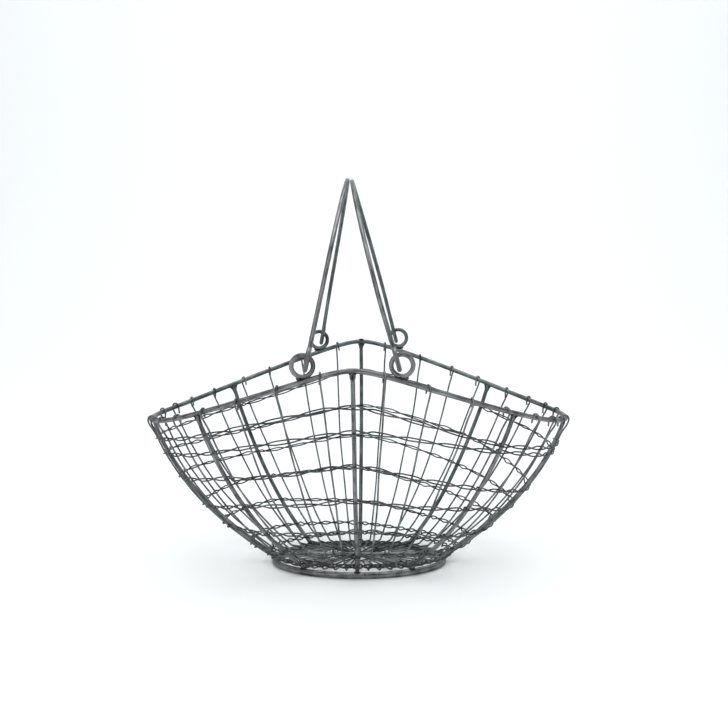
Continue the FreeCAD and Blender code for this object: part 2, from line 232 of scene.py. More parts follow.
def shares_at(step, height=0.0):
    """Where an upright stands along its quarter of the rim and of the base edge. It bows
    towards the middle of the side part of the way up."""
    place = step % ALL_STEPS
    in_front = place <= QUARTER_STEPS or place >= 3 * QUARTER_STEPS
    places = FRONT_PLACES if in_front else BACK_PLACES
    inside = step % (2 * QUARTER_STEPS)
    inside = min(inside, 2 * QUARTER_STEPS - inside)
    low = min(int(inside), QUARTER_STEPS - 1)
    part = inside - low
    rim_share = places[low] + part * (places[low + 1] - places[low])
    base_share = inside / QUARTER_STEPS
    bow = UPRIGHT_BOW * math.sin(math.pi * height) * math.sin(math.pi * base_share)
    return rim_share - bow, base_share - bow


def mirrored(point, step):
    """A point of the first quarter, carried to the quarter that the step is in."""
    step = step % ALL_STEPS
    x = point.x if step <= 2 * QUARTER_STEPS else -point.x
    y = point.y if step <= QUARTER_STEPS or step >= 3 * QUARTER_STEPS else -point.y
    return Vector((x, y, point.z))


def rim_point(step, height=0.0):
    rim_share, _ = shares_at(step, height)
    return mirrored(rim_at(turn_at_share(RIM_TABLE, rim_share)), step)


def base_point(step, height=0.0):
    _, base_share = shares_at(step, height)
    return mirrored(base_edge_at(turn_at_share(BASE_TABLE, base_share)), step)


def wall_at(step, share):
    """The bowl's wall, from the base edge at 0 to the rim at 1."""
    top = rim_point(step, share)
    foot = base_point(step, share)
    out = 1 - (1 - share) ** (PROFILE_POWER_LOW - PROFILE_POWER_FALL * share)
    across = foot + (top - foot) * out
    return Vector((across.x, across.y, foot.z + (top.z - foot.z) * share))


def base_at(step, share):
    """The flat base, from the centre at 0 to the base edge at 1."""
    edge = base_point(step)
    return Vector((edge.x * share, edge.y * share, edge.z))


def off_surface(surface, step, share, outward, raised):
    """A point beside the surface. In the wall, raised is its true height above the surface."""
    nudge = 0.02
    rise = 0.004
    around = surface(step + nudge, share) - surface(step - nudge, share)
    up = (surface(step, share + rise) - surface(step, share - rise)).normalized()
    normal = around.cross(up).normalized()
    slide = raised
    if up.z > 0:
        slide = (raised - normal.z * outward) / up.z
    return surface(step, share) + normal * outward + up * slide


def is_rib(step):
    return step % RIB_EVERY == 0


def wander(seed, place, size):
    """A smooth number between about -size and size that changes with place. The odd
    multipliers keep each seed's numbers apart from the next one's."""
    return noise.noise(Vector((place, seed * 7.31 + 0.5, seed * 3.17))) * 1.7 * size


# ---- heavy ribs ----

def rib_wall_points(step):
    top = rim_point(step)
    points = [Vector((top.x, top.y, top.z - RIM_WIRE / 2 + RIB_WELD_DEPTH))]
    for i in range(WALL_STEPS - 1, 0, -1):
        share = i / WALL_STEPS
        lean = wander(step + 71, share * 1.7, RIB_SWAY) * math.sin(math.pi * share)
        points.append(wall_at(step + lean, share))
    return points + edge_points(step)


def edge_points(step):
    """The bend from the wall into the base."""
    edge = base_point(step)
    wall = wall_at(step, 1 / WALL_STEPS)
    inward = Vector((-edge.x, -edge.y, 0)).normalized()
    return [edge + (wall - edge).normalized() * EDGE_RUN, edge, edge + inward * EDGE_RUN]


def through_rib(first_step, middle_points):
    near = rib_wall_points(first_step)
    far = rib_wall_points(first_step + 2 * QUARTER_STEPS)
    return near + middle_points + far[::-1]


def rib_front_back_line():
    lift = Vector((0, 0, BASE_Z + CENTRE_LIFT))
    flat = Vector((0, 0, BASE_Z))
    along = Vector((0, 1, 0))
    step_over = [
        flat - along * CENTRE_STEP_OUT,
        lift - along * CENTRE_STEP_IN,
        lift + along * CENTRE_STEP_IN,
        flat + along * CENTRE_STEP_OUT,
    ]
    return through_rib(0, step_over)


def diagonal_rib_line(step):
    edge = base_point(step)
    inner = Vector((edge.x, edge.y, 0)).normalized() * DIAGONAL_END
    inner.z = BASE_Z
    return rib_wall_points(step) + [inner]


# ---- thin staves ----

def stave_line(step):
    """Up the outside, over the rim, and a cut tail inside. No two hooks are bent quite alike."""
    chance = random.Random(step * 17 + 3)
    top = rim_point(step)
    along = rim_point(step + STEP_NUDGE) - rim_point(step - STEP_NUDGE)
    outward = Vector((along.y, -along.x, 0)).normalized()
    along.normalize()
    radius = RIM_WIRE / 2 + STAVE_WIRE / 2 + HOOK_GAP
    corner = radius * math.tan(math.pi / 8)
    loose = chance.uniform(*HOOK_LOOSE)
    tail_drop = chance.uniform(*HOOK_TAIL_DROP)
    tail_in = chance.uniform(*HOOK_TAIL_IN)
    slant = chance.choice((-1, 1)) * chance.uniform(*HOOK_SLANT)
    points = [base_at(step, STAVE_END_SHARE)] + edge_points(step)[::-1]
    lean = wander(step + 11, 0.3, STAVE_LEAN)
    for i in range(1, WALL_STEPS):
        share = i / WALL_STEPS
        if share < KICK_SHARE:
            middle = math.sin(math.pi * share / KICK_SHARE)
            sway = lean * middle
            sway += wander(step + 31, share * 3.1, STAVE_SWAY) * middle
            points.append(wall_at(step + sway, share))
    shoulder = top + outward * radius
    tail = top - outward * (radius + loose * 0.4) + along * slant
    lifted = UP * loose
    points += [
        shoulder - UP * radius,
        shoulder + UP * corner,
        top + outward * corner + UP * radius + lifted * 0.6 + along * slant * 0.3,
        top - outward * corner + UP * radius + lifted * 0.6 + along * slant * 0.7,
        tail + UP * corner + lifted * 0.3,
        tail - UP * tail_drop * 0.45 + along * slant * 0.3,
        tail - UP * tail_drop - outward * tail_in + along * slant * 0.5,
    ]
    return points


# ---- weave ----

def spiral_share(place):
    """Height share along the whole spiral. Place counts eighths of a turn from its lower end."""
    shares = [share for turn in WALL_TURNS[::-1] for share in turn] + [SPIRAL_TOP]
    last = len(shares) - 1
    low = min(max(int(place), 0), last - 1)
    part = place - low
    before = shares[max(low - 1, 0)]
    start = shares[low]
    end = shares[low + 1]
    after = shares[min(low + 2, last)]
    slope_start = (end - before) / 2
    slope_end = (after - start) / 2
    bend = 3 * (end - start) - 2 * slope_start - slope_end
    twist = slope_start + slope_end - 2 * (end - start)
    return start + part * (slope_start + part * (bend + part * twist))


def spiral_height(step):
    """The spiral's height share with its hand-made wander, which both strands share. The step
    counts on from turn to turn."""
    place = (step - QUARTER_STEPS) / (QUARTER_STEPS / 2)
    size = SPIRAL_SWAY_LOW + SPIRAL_SWAY_GAIN * min(1.0, place / SPIRAL_SWAY_REACH)
    return spiral_share(place) + wander(7, step / 3.1, size)


def upright_wire(step):
    return RIB_WIRE if is_rib(step) else STAVE_WIRE


def pass_offset(step):
    return upright_wire(step) / 2 + WEAVE_WIRE / 2 + WEAVE_GAP


def strand_line(surface, share_at, uprights, parity, row):
    """Control points of one strand, from the first upright to the last. It passes every other
    upright outside and low, and the rest inside and high, and makes half a turn round its
    partner in each bay."""
    places = []
    for i, (step, after) in enumerate(zip(uprights, uprights[1:])):
        outside = 1 if (i + parity) % 2 == 0 else -1
        bay = after - step
        width = (surface(after, share_at(after)) - surface(step, share_at(step))).length
        leave = max(PASS_SHARE, PASS_WIDTH * upright_wire(step) / width)
        arrive = max(PASS_SHARE, PASS_WIDTH * upright_wire(after) / width)
        start = step + leave * bay
        run = bay * (1 - leave - arrive)
        nip = bay * STRAND_END_GAP / width
        high_here = WEAVE_SPREAD * (1 + wander(row + 5, step * 0.9, PASS_SWAY))
        high_next = WEAVE_SPREAD * (1 + wander(row + 5, after * 0.9, PASS_SWAY))
        shift = wander(row + 2, step * 1.3, CROSSING_SWAY)
        bulge = SWAP_RISE * (1 + wander(row + 9, step * 1.1, SWAP_SWAY))
        leaving = (outside * pass_offset(step), -outside * high_here)
        arriving = (-outside * pass_offset(after), outside * high_next)
        if i == 0:
            places.append((step + nip,) + leaving)
        places.append((start,) + leaving)
        places.append((start + (CROSSING_PLACE + shift) * run, outside * CROSSING_OFFSET, 0.0))
        places.append((start + (SWAP_PLACE + shift * 0.5) * run, 0.0, outside * bulge))
        places.append((start + run,) + arriving)
        if after == uprights[-1]:
            places.append((after - nip,) + arriving)
    points = []
    for place, outward, raised in places:
        points.append(off_surface(surface, place, share_at(place), outward, raised))
    return points


# ---- rings and handles ----

def rim_at_x(x, side):
    """The point of the rim above x, on the front for side -1 and the back for side 1."""
    low = 0.0
    high = QUARTER_TURN
    for _ in range(HALVINGS):
        turn = (low + high) / 2
        if rim_at(turn).x < abs(x):
            low = turn
        else:
            high = turn
    point = rim_at(turn)
    return Vector((x, point.y if side < 0 else -point.y, point.z))


def ring_centre(x, side):
    here = rim_at_x(x, side)
    along = rim_at_x(abs(x) + 0.5, side) - rim_at_x(abs(x) - 0.5, side)
    slope = abs(along.z) / along.length
    height = (RIM_WIRE / 2 - RING_WELD_DEPTH + RING_WIRE / 2) / math.sqrt(1 - slope ** 2)
    return here + Vector((0, 0, height + RING_RADIUS))


def handle_frame(rings_x):
    """The middle, the direction and the half length of the hinge through both rings."""
    front = ring_centre(rings_x[0], -1)
    back = ring_centre(rings_x[1], 1)
    return (front + back) * 0.5, (back - front).normalized(), (back - front).length / 2


def handle_lean(middle, hand):
    """The angle at which the crown of a resting handle meets its partner's."""
    reach = abs(middle.x - (MEETING_X + hand * MEETING_HALF_GAP))
    along = math.hypot(HANDLE_INSET, HANDLE_HEIGHT)
    return math.asin(reach / along) - math.atan2(HANDLE_INSET, HANDLE_HEIGHT)


def handle_outline(half):
    """Half of a handle in its own plane, as (across, up) from the middle of the hinge: from
    the wire's cut end round the long eye, then the arch."""
    outer = half - EYE_HALF_WIDTH
    inner = half + EYE_HALF_WIDTH
    side = [
        (outer + HANDLE_WIRE + EYE_END_GAP, EYE_TOP + EYE_END_RISE),
        (inner - EYE_SHOULDER[0], EYE_TOP + EYE_SHOULDER[1]),
        (inner, EYE_TOP - EYE_SIDE_DROP),
        (inner, EYE_BOTTOM + EYE_FOOT_RISE),
        (half + EYE_FOOT_HALF, EYE_BOTTOM),
        (half - EYE_FOOT_HALF, EYE_BOTTOM),
        (outer, EYE_BOTTOM + EYE_FOOT_RISE),
        (outer, EYE_TOP + EYE_NECK),
    ]
    arch = []
    for i in range(2, HANDLE_STEPS):
        angle = math.pi / 2 * i / HANDLE_STEPS
        up = math.sin(angle)
        width = outer * (1 - up ** HANDLE_TOP_POWER) ** (1 / HANDLE_SIDE_POWER)
        arch.append((width, HANDLE_HEIGHT * up))
    return side, arch


def leg_bend(across, up, half, bends):
    """How far a handle wire is bent out of its plane: its front and back legs differ a little."""
    share = max(0.0, (up - EYE_TOP) / (HANDLE_HEIGHT - EYE_TOP))
    bulge = 1 - (2 * share - 1) ** 4
    back = (across / half + 1) / 2
    return bulge * (bends[0] + (bends[1] - bends[0]) * min(max(back, 0.0), 1.0))


def handle_line(rings_x, hand, bends):
    middle, axis, half = handle_frame(rings_x)
    lean = handle_lean(middle, hand)
    side, arch = handle_outline(half)
    right = side + arch
    half_crown = arch[-1][0] * CROWN_SHARE
    crown = [(half_crown, HANDLE_HEIGHT), (-half_crown, HANDLE_HEIGHT)]
    outline = right + crown + [(-across, up) for across, up in right[::-1]]
    across_hinge = Vector((axis.y, -axis.x, 0)).normalized()
    upright = across_hinge.cross(axis).normalized()
    up_handle = upright * math.cos(lean) - across_hinge * (hand * math.sin(lean))
    inset = -across_hinge * (hand * math.cos(lean)) - upright * math.sin(lean)
    origin = middle + inset * HANDLE_INSET
    points = []
    for across, up in outline:
        bend = across_hinge * leg_bend(across, up, half, bends)
        points.append(origin + axis * across + up_handle * up + bend)
    return points


# ======================= meshes =======================

class Shape:
    """Collects the points and faces of tubes and beads, for one mesh."""

    def __init__(self):
        self.points = []
        self.faces = []
        self.marks = []
        self.slots = []

    def add(self, points, faces, marks, slot):
        start = len(self.points)
        self.points.extend(points)
        self.faces.extend([tuple(start + i for i in face) for face in faces])
        self.marks.extend(marks)
        self.slots.extend([slot] * len(faces))


def spline(points, closed, longest, turn_step):
    """Samples of the smooth line that the points control, touching the middle of every run."""
    points = [np.array(p) for p in points]
    count = len(points)
    pieces = []
    for i in range(0 if closed else 1, count if closed else count - 1):
        before = points[i - 1]
        at = points[i]
        after = points[(i + 1) % count]
        first = before if not closed and i == 1 else (before + at) / 2
        last = after if not closed and i == count - 2 else (at + after) / 2
        a = at - first
        b = last - at
        lengths = np.linalg.norm(a) + np.linalg.norm(b)
        cosine = np.dot(a, b) / (np.linalg.norm(a) * np.linalg.norm(b))
        turn = math.degrees(math.acos(max(-1.0, min(1.0, cosine))))
        parts = max(1, math.ceil(lengths / longest), math.ceil(turn / turn_step))
        for k in range(parts):
            t = k / parts
            pieces.append(first * (1 - t) ** 2 + at * 2 * t * (1 - t) + last * t ** 2)
    if not closed:
        pieces.append(points[-1])
    return np.array(pieces)


def tube(shape, control, diameter, sides, closed=False, longest=2.6, turn_step=9.0,
         seed=0, end="cut", lumpy=0.012, flat_below=None, slot=0):
    """Adds a round wire along the control points. The slot is the material's."""
    line = spline(control, closed, longest, turn_step)
    count = len(line)
    if closed:
        tangents = np.roll(line, -1, 0) - np.roll(line, 1, 0)
        runs = np.linalg.norm(np.roll(line, -1, 0) - line, axis=1)
    else:
        tangents = np.gradient(line, axis=0)
        runs = np.linalg.norm(np.diff(line, axis=0), axis=1)
    tangents /= np.linalg.norm(tangents, axis=1)[:, None]
    along = np.concatenate([[0.0], np.cumsum(runs)])

    # carry one side direction along the wire without twisting it
    side = np.cross(tangents[0], (0, 0, 1) if abs(tangents[0][2]) < 0.9 else (0, 1, 0))
    side /= np.linalg.norm(side)
    sides_at = [side]
    for i in range(1, count):
        side = side - tangents[i] * np.dot(side, tangents[i])
        side /= np.linalg.norm(side)
        sides_at.append(side)
    sides_at = np.array(sides_at)
    if closed:
        # share the twist that is left over round the whole loop
        last = side - tangents[0] * np.dot(side, tangents[0])
        last /= np.linalg.norm(last)
        over = np.cross(tangents[0], sides_at[0])
        twist = math.atan2(np.dot(last, over), np.dot(last, sides_at[0]))
        for i in range(count):
            angle = -twist * i / count
            other = np.cross(tangents[i], sides_at[i])
            sides_at[i] = sides_at[i] * math.cos(angle) + other * math.sin(angle)

    rings = []
    for i in range(count):
        place = along[i]
        lump = noise.noise(Vector((place / LUMP_LENGTH, seed * 1.7, 0.3)))
        wide = diameter / 2 * (1 + lumpy * lump * 2)
        rings.append((line[i], sides_at[i], tangents[i], wide, wide, place))
    if not closed:
        rings = close_end(rings, diameter, end)
    radius = diameter / 2
    points = []
    marks = []
    for at, side, tangent, wide, thin, place in rings:
        other = np.cross(tangent, side)
        for k in range(sides):
            angle = 2 * math.pi * k / sides
            spot = at + side * wide * math.cos(angle) + other * thin * math.sin(angle)
            if flat_below is not None:
                spot[2] = max(spot[2], flat_below)
            points.append(spot)
            mark = (radius * math.cos(angle), radius * math.sin(angle), place + seed * MARK_SHIFT)
            marks.append(mark)
    faces = []
    rows = len(rings)
    for i in range(rows if closed else rows - 1):
        after = (i + 1) % rows
        for k in range(sides):
            near = (k + 1) % sides
            faces.append((i * sides + k, i * sides + near, after * sides + near, after * sides + k))
    if not closed:
        # each end is a ring of triangles round a point
        for row, flip in ((0, True), (rows - 1, False)):
            at = rings[row][0]
            centre = len(points)
            points.append(at)
            marks.append((0.0, 0.0, rings[row][-1] + seed * MARK_SHIFT))
            for k in range(sides):
                near = (k + 1) % sides
                corner = (row * sides + k, row * sides + near)
                faces.append((centre, corner[1], corner[0]) if flip else (centre,) + corner)
    shape.add(points, faces, marks, slot)


def close_end(rings, diameter, end):
    """Narrows the last bit of wire at both ends: a small bevel for a sawn end, a wedge for a
    snipped one."""
    def finished(ring, direction):
        at, side, tangent, wide, thin, place = ring
        if end == "snip":
            wedge = []
            for share, across, deep in (SNIP_START, SNIP_TIP):
                spot = at + tangent * direction * (diameter * SNIP_REACH) * share
                wedge.append((spot, side, tangent, wide * across, thin * deep, place))
            return wedge
        bevel = diameter * SAWN_BEVEL
        spot = at + tangent * direction * bevel
        return [(spot, side, tangent, wide * SAWN_WIDTH, thin * SAWN_WIDTH, place)]

    head = finished(rings[0], -1)[::-1]
    foot = finished(rings[-1], 1)
    return head + rings + foot


def bead(shape, at, size, facing=UP, along=(1, 0, 0), seed=0, rough=0.16, slot=1):
    """Adds one lumpy weld bead. Its size is given as half extents along, across and facing."""
    facing = Vector(facing).normalized()
    along = Vector(along)
    along = (along - facing * along.dot(facing)).normalized()
    across = facing.cross(along)
    ball_points, ball_faces = BALL
    points = []
    for p in ball_points:
        lump = 1 + rough * 1.6 * noise.noise(p * 2.1 + Vector((seed * 3.7, seed * 1.3, 0.0)))
        lump += rough * 0.8 * noise.noise(p * 5.3 + Vector((0.0, seed * 2.9, seed)))
        q = p * lump
        spot = Vector(at) + along * q.x * size[0] + across * q.y * size[1] + facing * q.z * size[2]
        points.append(np.array(spot))
    marks = [(p.x, p.y, p.z + seed * BEAD_MARK_SHIFT) for p in ball_points]
    shape.add(points, ball_faces, marks, slot)


def round_ball():
    """A ball of even triangles, as its points and faces."""
    ball = bmesh.new()
    bmesh.ops.create_icosphere(ball, subdivisions=BALL_DETAIL, radius=1.0)
    points = [v.co.copy() for v in ball.verts]
    faces = [tuple(v.index for v in f.verts) for f in ball.faces]
    ball.free()
    return points, faces


BALL = round_ball()


def make_piece(name, shape, materials, body, slot, *nodes):
    mesh = bpy.data.meshes.new(name)
    points = np.array([tuple(p) for p in shape.points], dtype=np.float64) * MM
    mesh.from_pydata(points.tolist(), [], shape.faces)
    mesh.polygons.foreach_set("material_index", shape.slots)
    mesh.polygons.foreach_set("use_smooth", [True] * len(mesh.polygons))
    layer = mesh.attributes.new("wire_line", "FLOAT_VECTOR", "POINT")
    layer.data.foreach_set("vector", np.array(shape.marks, dtype=np.float32).ravel())
    for material in materials:
        mesh.materials.append(material)
    mesh.set_sharp_from_angle(angle=math.radians(SHARP_ANGLE))
    mesh.validate()
    obj = bpy.data.objects.new(name, mesh)
    bpy.context.scene.collection.objects.link(obj)
    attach(obj, body)
    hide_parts(*nodes)


# ======================= materials =======================

STREAK_STRETCH = (0.85, 0.85, 0.032)
RUST_BROWN = (0.105, 0.062, 0.045, 1)
PIT_BLACK = (0.012, 0.011, 0.011, 1)
# the heights over which the painted shade near the floor fades out
LOW_SHADE_HEIGHTS = (0.006, 0.055)
# the depths and colours of a painted reflection tint, greener and darker towards the back
REFLECTION_TINT_DEPTHS = (-0.06, 0.07)
NEAR_REFLECTION_TINT = (1.0, 1.05, 1.075, 1)
FAR_REFLECTION_TINT = (0.66, 0.79, 0.79, 1)
SMOOTHER = 0.09
ROUGHER = 0.13
BUMP_DEPTH = 0.00025


def node_of(tree, kind, place, **values):
    node = tree.nodes.new(kind)
    node.location = place
    for key, value in values.items():
        setattr(node, key, value)
    return node


def noise_texture(tree, place, vector, scale, detail, roughness=0.5):
    node = node_of(tree, "ShaderNodeTexNoise", place)
    node.inputs["Scale"].default_value = scale
    node.inputs["Detail"].default_value = detail
    node.inputs["Roughness"].default_value = roughness
    tree.links.new(vector, node.inputs["Vector"])
    return node.outputs["Fac"]


def map_range(tree, place, source, low, high, to_low=0.0, to_high=1.0, kind="LINEAR"):
    node = node_of(tree, "ShaderNodeMapRange", place, interpolation_type=kind)
    node.inputs["From Min"].default_value = low
    node.inputs["From Max"].default_value = high
    node.inputs["To Min"].default_value = to_low
    node.inputs["To Max"].default_value = to_high
    tree.links.new(source, node.inputs["Value"])
    return node.outputs[0]


def mix_values(tree, place, share, first, second):
    node = node_of(tree, "ShaderNodeMix", place, data_type="FLOAT")
    node.inputs["Factor"].default_value = share
    tree.links.new(first, node.inputs[2])
    tree.links.new(second, node.inputs[3])
    return node.outputs[0]


def stained(tree, place, amount, under, colour):
    """The colour under the stain, covered by the stain's own where the amount is high."""
    node = node_of(tree, "ShaderNodeMix", place, data_type="RGBA")
    node.inputs[7].default_value = colour
    tree.links.new(amount, node.inputs[0])
    tree.links.new(under, node.inputs[6])
    return node.outputs[2]


def iron(name, dark, light, patch, roughness, metal=0.8, grain=0.12, spots=0.0, rust=0.0, low_shade_scale=0.9):
    """Dark drawn iron wire: streaks along the wire, soft cloudy patches and a fine grain. The
    patch share says how much the patches count against the streaks."""
    material = bpy.data.materials.new(name)
    material.use_nodes = True
    tree = material.node_tree
    tree.nodes.clear()
    link = tree.links.new
    out = node_of(tree, "ShaderNodeOutputMaterial", (900, 0))
    shader = node_of(tree, "ShaderNodeBsdfPrincipled", (600, 0))
    shader.inputs["Metallic"].default_value = metal
    link(shader.outputs[0], out.inputs["Surface"])

    line = node_of(tree, "ShaderNodeAttribute", (-1300, 200), attribute_name="wire_line")
    stretch = node_of(tree, "ShaderNodeVectorMath", (-1100, 200), operation="MULTIPLY")
    stretch.inputs[1].default_value = STREAK_STRETCH
    link(line.outputs["Vector"], stretch.inputs[0])
    where = node_of(tree, "ShaderNodeTexCoord", (-1300, -200)).outputs["Object"]
    streaks = noise_texture(tree, (-900, 200), stretch.outputs[0], 1.4, 5.0, 0.62)
    clouds = noise_texture(tree, (-900, -80), where, 85.0, 4.0)
    fine = noise_texture(tree, (-900, -340), where, 1500.0, 3.0)

    streak_share = map_range(tree, (-680, 200), streaks, 0.32, 0.68)
    cloud_share = map_range(tree, (-680, -80), clouds, 0.35, 0.68)
    mixed = mix_values(tree, (-440, 120), patch, streak_share, cloud_share)
    colour = node_of(tree, "ShaderNodeValToRGB", (-220, 160))
    ramp = colour.color_ramp
    ramp.elements[0].position = 0.16
    ramp.elements[0].color = (*dark, 1)
    ramp.elements[1].position = 0.84
    ramp.elements[1].color = (*light, 1)
    link(mixed, colour.inputs["Fac"])
    last = colour.outputs["Color"]
    if rust > 0:
        amount = map_range(tree, (-440, -260), clouds, 0.56, 0.74, 0.0, rust)
        last = stained(tree, (40, 60), amount, last, RUST_BROWN)
    if spots > 0:
        amount = map_range(tree, (-440, -480), fine, 0.58, 0.7, 0.0, spots)
        last = stained(tree, (220, 60), amount, last, PIT_BLACK)

    # painted shade by height: the lowest wires are scaled darker (on the foot ring, lighter), and a
    # painted reflection tint makes the far side greener and darker than the near one
    spread = node_of(tree, "ShaderNodeSeparateXYZ", (-900, -620))
    link(where, spread.inputs[0])
    shade_by_height = map_range(tree, (-680, -560), spread.outputs["Z"], *LOW_SHADE_HEIGHTS, low_shade_scale, 1.0, "SMOOTHSTEP")
    # painted reflection tint by depth: the far side greener and darker
    far_share = map_range(tree, (-680, -780), spread.outputs["Y"], *REFLECTION_TINT_DEPTHS, kind="SMOOTHSTEP")
    reflection_tint = node_of(tree, "ShaderNodeMix", (220, 300), data_type="RGBA")
    reflection_tint.inputs[6].default_value = NEAR_REFLECTION_TINT
    reflection_tint.inputs[7].default_value = FAR_REFLECTION_TINT
    link(far_share, reflection_tint.inputs[0])
    tinted = node_of(tree, "ShaderNodeVectorMath", (400, 240), operation="MULTIPLY")
    link(last, tinted.inputs[0])
    link(reflection_tint.outputs[2], tinted.inputs[1])
    shade_scaled = node_of(tree, "ShaderNodeVectorMath", (500, 160), operation="SCALE")
    link(tinted.outputs[0], shade_scaled.inputs[0])
    link(shade_by_height, shade_scaled.inputs["Scale"])
    link(shade_scaled.outputs[0], shader.inputs["Base Color"])

    gloss = map_range(tree, (220, -160), mixed, 0.0, 1.0, roughness - SMOOTHER, roughness + ROUGHER)
    link(gloss, shader.inputs["Roughness"])
    bump = node_of(tree, "ShaderNodeBump", (320, -360))
    bump.inputs["Strength"].default_value = grain * 4
    bump.inputs["Distance"].default_value = BUMP_DEPTH
    link(mix_values(tree, (0, -360), 0.4, streaks, fine), bump.inputs["Height"])
    link(bump.outputs[0], shader.inputs["Normal"])
    return material


rim_iron = iron("rim_iron", (0.038, 0.036, 0.037), (0.340, 0.326, 0.326), 0.4, 0.38, rust=0.25)
# painted light: the foot ring's height scale of 1.1 makes its lowest part lighter
foot_iron = iron("foot_iron", (0.034, 0.034, 0.035), (0.300, 0.297, 0.300), 0.45, 0.36, low_shade_scale=1.1)
rib_iron = iron("rib_iron", (0.034, 0.033, 0.034), (0.310, 0.302, 0.303), 0.35, 0.38, rust=0.15)
stave_iron = iron("stave_iron", (0.033, 0.032, 0.033), (0.300, 0.292, 0.294), 0.4, 0.42)
weave_iron = iron("weave_iron", (0.020, 0.020, 0.020), (0.165, 0.160, 0.162), 0.4, 0.46)
# painted shade: the edge and base rows' wire is a darker copy of weave_iron, standing in for the contact
# shade in the base
shaded_base_iron = iron("shaded_base_iron", (0.010, 0.010, 0.010), (0.120, 0.117, 0.118), 0.4, 0.5)
ring_iron = iron("ring_iron", (0.036, 0.034, 0.035), (0.320, 0.310, 0.310), 0.5, 0.38, rust=0.2)
handle_iron = iron("handle_iron", (0.038, 0.036, 0.037), (0.320, 0.308, 0.308), 0.3, 0.37, rust=0.3)
weld_iron = iron("weld_iron", (0.018, 0.017, 0.017), (0.150, 0.143, 0.142), 0.7, 0.56,
                 metal=0.7, grain=0.3, spots=0.8, rust=0.3)
burnt_iron = iron("burnt_iron", (0.005, 0.005, 0.005), (0.040, 0.037, 0.036), 0.7, 0.62,
                  metal=0.5, grain=0.3, spots=0.6)


# ======================= pieces =======================

# weld beads, each with its place beside the joint and its half extents along, across and up
RIM_BEADS = (
    (-2.0, -1.85, 0.4, (1.6, 1.2, 1.1)),
    (1.9, -1.95, 0.3, (1.6, 1.2, 1.0)),
    (0.2, -1.7, 1.0, (1.5, 0.8, 1.0)),
)
RIM_JOINT_STEP = 31.0
RIM_JOINT_SIZE = (1.5, 2.3, 2.3)
BACK_BEAD_PLACE = (0.4, -0.6, 1.5)
BACK_BEAD_SIZE = (2.7, 1.7, 1.5)
FOOT_BEAD_SLIDES = (-1.7, 1.6)
FOOT_BEAD_SIZE = (1.6, 1.7, 1.0)
FOOT_BEAD_DROP = 1.85
FOOT_JOINT_ANGLE = 0.085
FOOT_JOINT_SIZE = (1.7, 2.75, 2.65)
RING_BEADS = (
    (-3.3, 0.5, (2.2, 1.9, 1.6)),
    (3.2, 0.4, (2.3, 1.8, 1.5)),
    (0.4, 0.0, (2.4, 2.35, 1.2)),
    (-1.6, 0.9, (1.6, 2.4, 1.1)),
)
CENTRE_BEADS = (
    ((1.6, 0.5, BASE_Z + 1.9), (1.5, 2.2, 1.2), 71),
    ((-1.7, -0.4, BASE_Z + 1.8), (1.4, 2.0, 1.2), 72),
)
INNER_BEAD_SIZE = (2.6, 1.6, 1.5)

# the front middle rib's head: how far it hangs, its size, its ridge and its burnt spots
HEAD_DROP = 5.0
HEAD_SIZE = (2.75, 2.1, 4.3)
RIDGE_TOP = 3.3
RIDGE_BOTTOM = 3.6
RIDGE_SIDE = 1.75
RIDGE_WIRE = 1.05
PIT_SIZE = (0.85, 0.35, 1.9)
BURNT_SPOTS = ((2.6, 2.6), (1.5, 3.6), (-2.5, 2.3))
BURNT_SIZE = (0.8, 0.7, 0.75)

# the other ribs' fillets: where they start, how far they spread, their gauge and hollows
FILLET_LENGTH = 8.5
FILLET_REACH = (2.9, 4.0)
FILLET_WIRE = 2.1
HOLLOW_SIZE = (1.35, 0.9, 1.9)


def direction_at(step):
    return (rim_point(step + STEP_NUDGE) - rim_point(step - STEP_NUDGE)).normalized()


def outward_at(step):
    out = rim_point(step) - base_point(step)
    out.z = 0
    return out.normalized()


def make_rim():
    shape = Shape()
    points = [rim_at((i + 0.5) / RIM_POINTS) for i in range(RIM_POINTS)]
    tube(shape, points, RIM_WIRE, 24, closed=True, longest=1.6, seed=3, lumpy=0.02)
    # where each heavy rib is welded on, a run of small beads along the underside
    for step in range(0, ALL_STEPS, RIB_EVERY):
        along = direction_at(step)
        out = outward_at(step)
        top = rim_point(step)
        for i, (slide, drop, lift, size) in enumerate(RIM_BEADS):
            spot = top + along * slide + UP * drop + out * lift
            bead(shape, spot, size, along=along, seed=step * 3 + i, slot=2 if i else 1)
    # the rim's own ends are butted and welded beside the left-hand rib
    joint = rim_point(RIM_JOINT_STEP)
    bead(shape, joint, RIM_JOINT_SIZE, along=direction_at(RIM_JOINT_STEP), seed=91, rough=0.07)
    # back middle: the bead stands a little proud of the rim
    back = rim_point(2 * QUARTER_STEPS) + Vector(BACK_BEAD_PLACE)
    bead(shape, back, BACK_BEAD_SIZE, seed=57)
    make_piece("rim_wire_loop", shape, [rim_iron, weld_iron, burnt_iron], "basket", "rim_wire", "rim")


def foot_at(angle, height):
    return Vector((FOOT_HALF_LENGTH * math.sin(angle), -FOOT_HALF_WIDTH * math.cos(angle), height))


